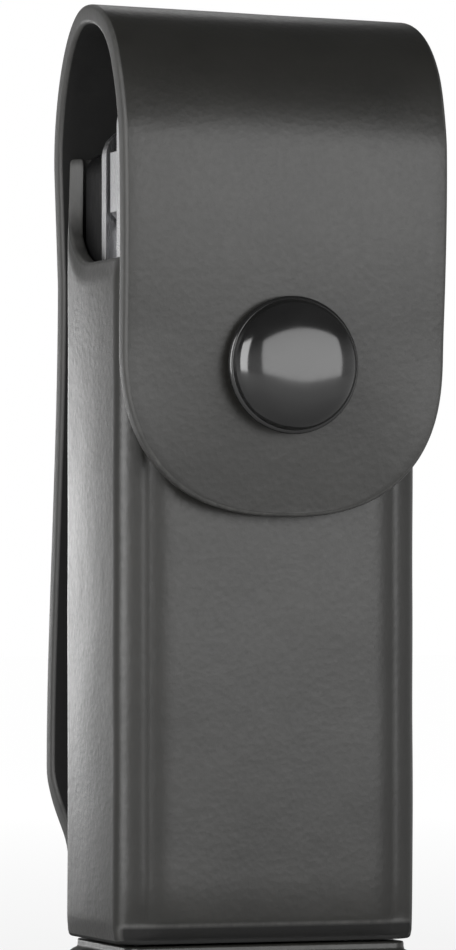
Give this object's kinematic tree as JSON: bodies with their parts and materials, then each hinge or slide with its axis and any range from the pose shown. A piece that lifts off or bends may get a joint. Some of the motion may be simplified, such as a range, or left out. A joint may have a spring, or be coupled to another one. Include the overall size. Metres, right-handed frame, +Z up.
{
  "type": "multi tool",
  "caption": "Closed folding multi-tool with pliers and blades, stowed in a black leather belt sheath with an arched snap flap.",
  "frame": {"origin": "centre of the sheath's flat bottom face, at the height it stands on", "axes": "+Z up towards the flap's arch, -Y towards the flap and its snap, +X to the right as seen from the front"},
  "size_m": [0.0444, 0.0448, 0.1282],
  "materials": {
    "black_leather": "semi-gloss black cowhide with a fine grain, burnished cut edges and a mottled flesh side",
    "gloss_black_cap": "gloss black baked enamel over a brass snap cap",
    "nickel_hardware": "nickel plated brass",
    "stainless_steel": "satin stainless steel",
    "black_oxide_steel": "black oxide on steel, satin"
  },
  "bodies": {
    "sheath": {"sheath_body": "black_leather", "bottom_gusset": "black_leather", "back_strap": "black_leather", "strap_rivet_left": "nickel_hardware", "strap_rivet_right": "nickel_hardware", "snap_stud": "nickel_hardware", "snap_eyelet": "nickel_hardware"},
    "flap_rear": {"flap_back": "black_leather"},
    "flap_panel": {"flap_front": "black_leather", "snap_cap": "gloss_black_cap", "snap_socket": "nickel_hardware"},
    "multi_tool": {"axle_bolt_left": "stainless_steel", "axle_bolt_right": "stainless_steel", "axle_nut_left": "stainless_steel", "axle_nut_right": "stainless_steel", "back_spring_left": "stainless_steel", "back_spring_right": "stainless_steel", "can_opener": "stainless_steel", "cross_screwdriver": "stainless_steel", "file_blade": "stainless_steel", "handle_channel_left": "black_oxide_steel", "handle_channel_right": "black_oxide_steel", "handle_cover_left": "stainless_steel", "handle_cover_right": "stainless_steel", "handle_liner_left": "stainless_steel", "handle_liner_right": "stainless_steel", "handle_pin_left": "stainless_steel", "handle_pin_right": "stainless_steel", "handle_plate_left": "stainless_steel", "handle_plate_right": "stainless_steel", "inner_spacer_left": "black_oxide_steel", "inner_spacer_right": "black_oxide_steel", "knife_blade": "stainless_steel", "large_screwdriver": "stainless_steel", "outer_spacer_left": "black_oxide_steel", "outer_spacer_right": "black_oxide_steel", "plier_jaw_left": "stainless_steel", "plier_jaw_right": "stainless_steel", "plier_pivot": "stainless_steel", "serrated_blade": "stainless_steel", "small_screwdriver": "stainless_steel", "wood_saw": "stainless_steel"}
  },
  "joints": [
    {"name": "tool_draw", "type": "slide", "parent": "sheath", "child": "multi_tool", "axis": [0, 0, 1], "range_m": [0, 0.066]},
    {"name": "flap_lift", "type": "hinge", "parent": "sheath", "child": "flap_rear", "pos_m": [0, 0.0157, 0.1094], "axis": [-1, 0, 0], "range_deg": [0, 115]},
    {"name": "flap_unroll", "type": "hinge", "parent": "flap_rear", "child": "flap_panel", "pos_m": [0, -0.0009, 0.1282], "axis": [-1, 0, 0], "range_deg": [0, 90]}
  ],
  "couplings": [
    {"joint": "flap_lift", "follows": "tool_draw", "rad_per_m": 30.41},
    {"joint": "flap_unroll", "follows": "tool_draw", "rad_per_m": 23.79}
  ]
}
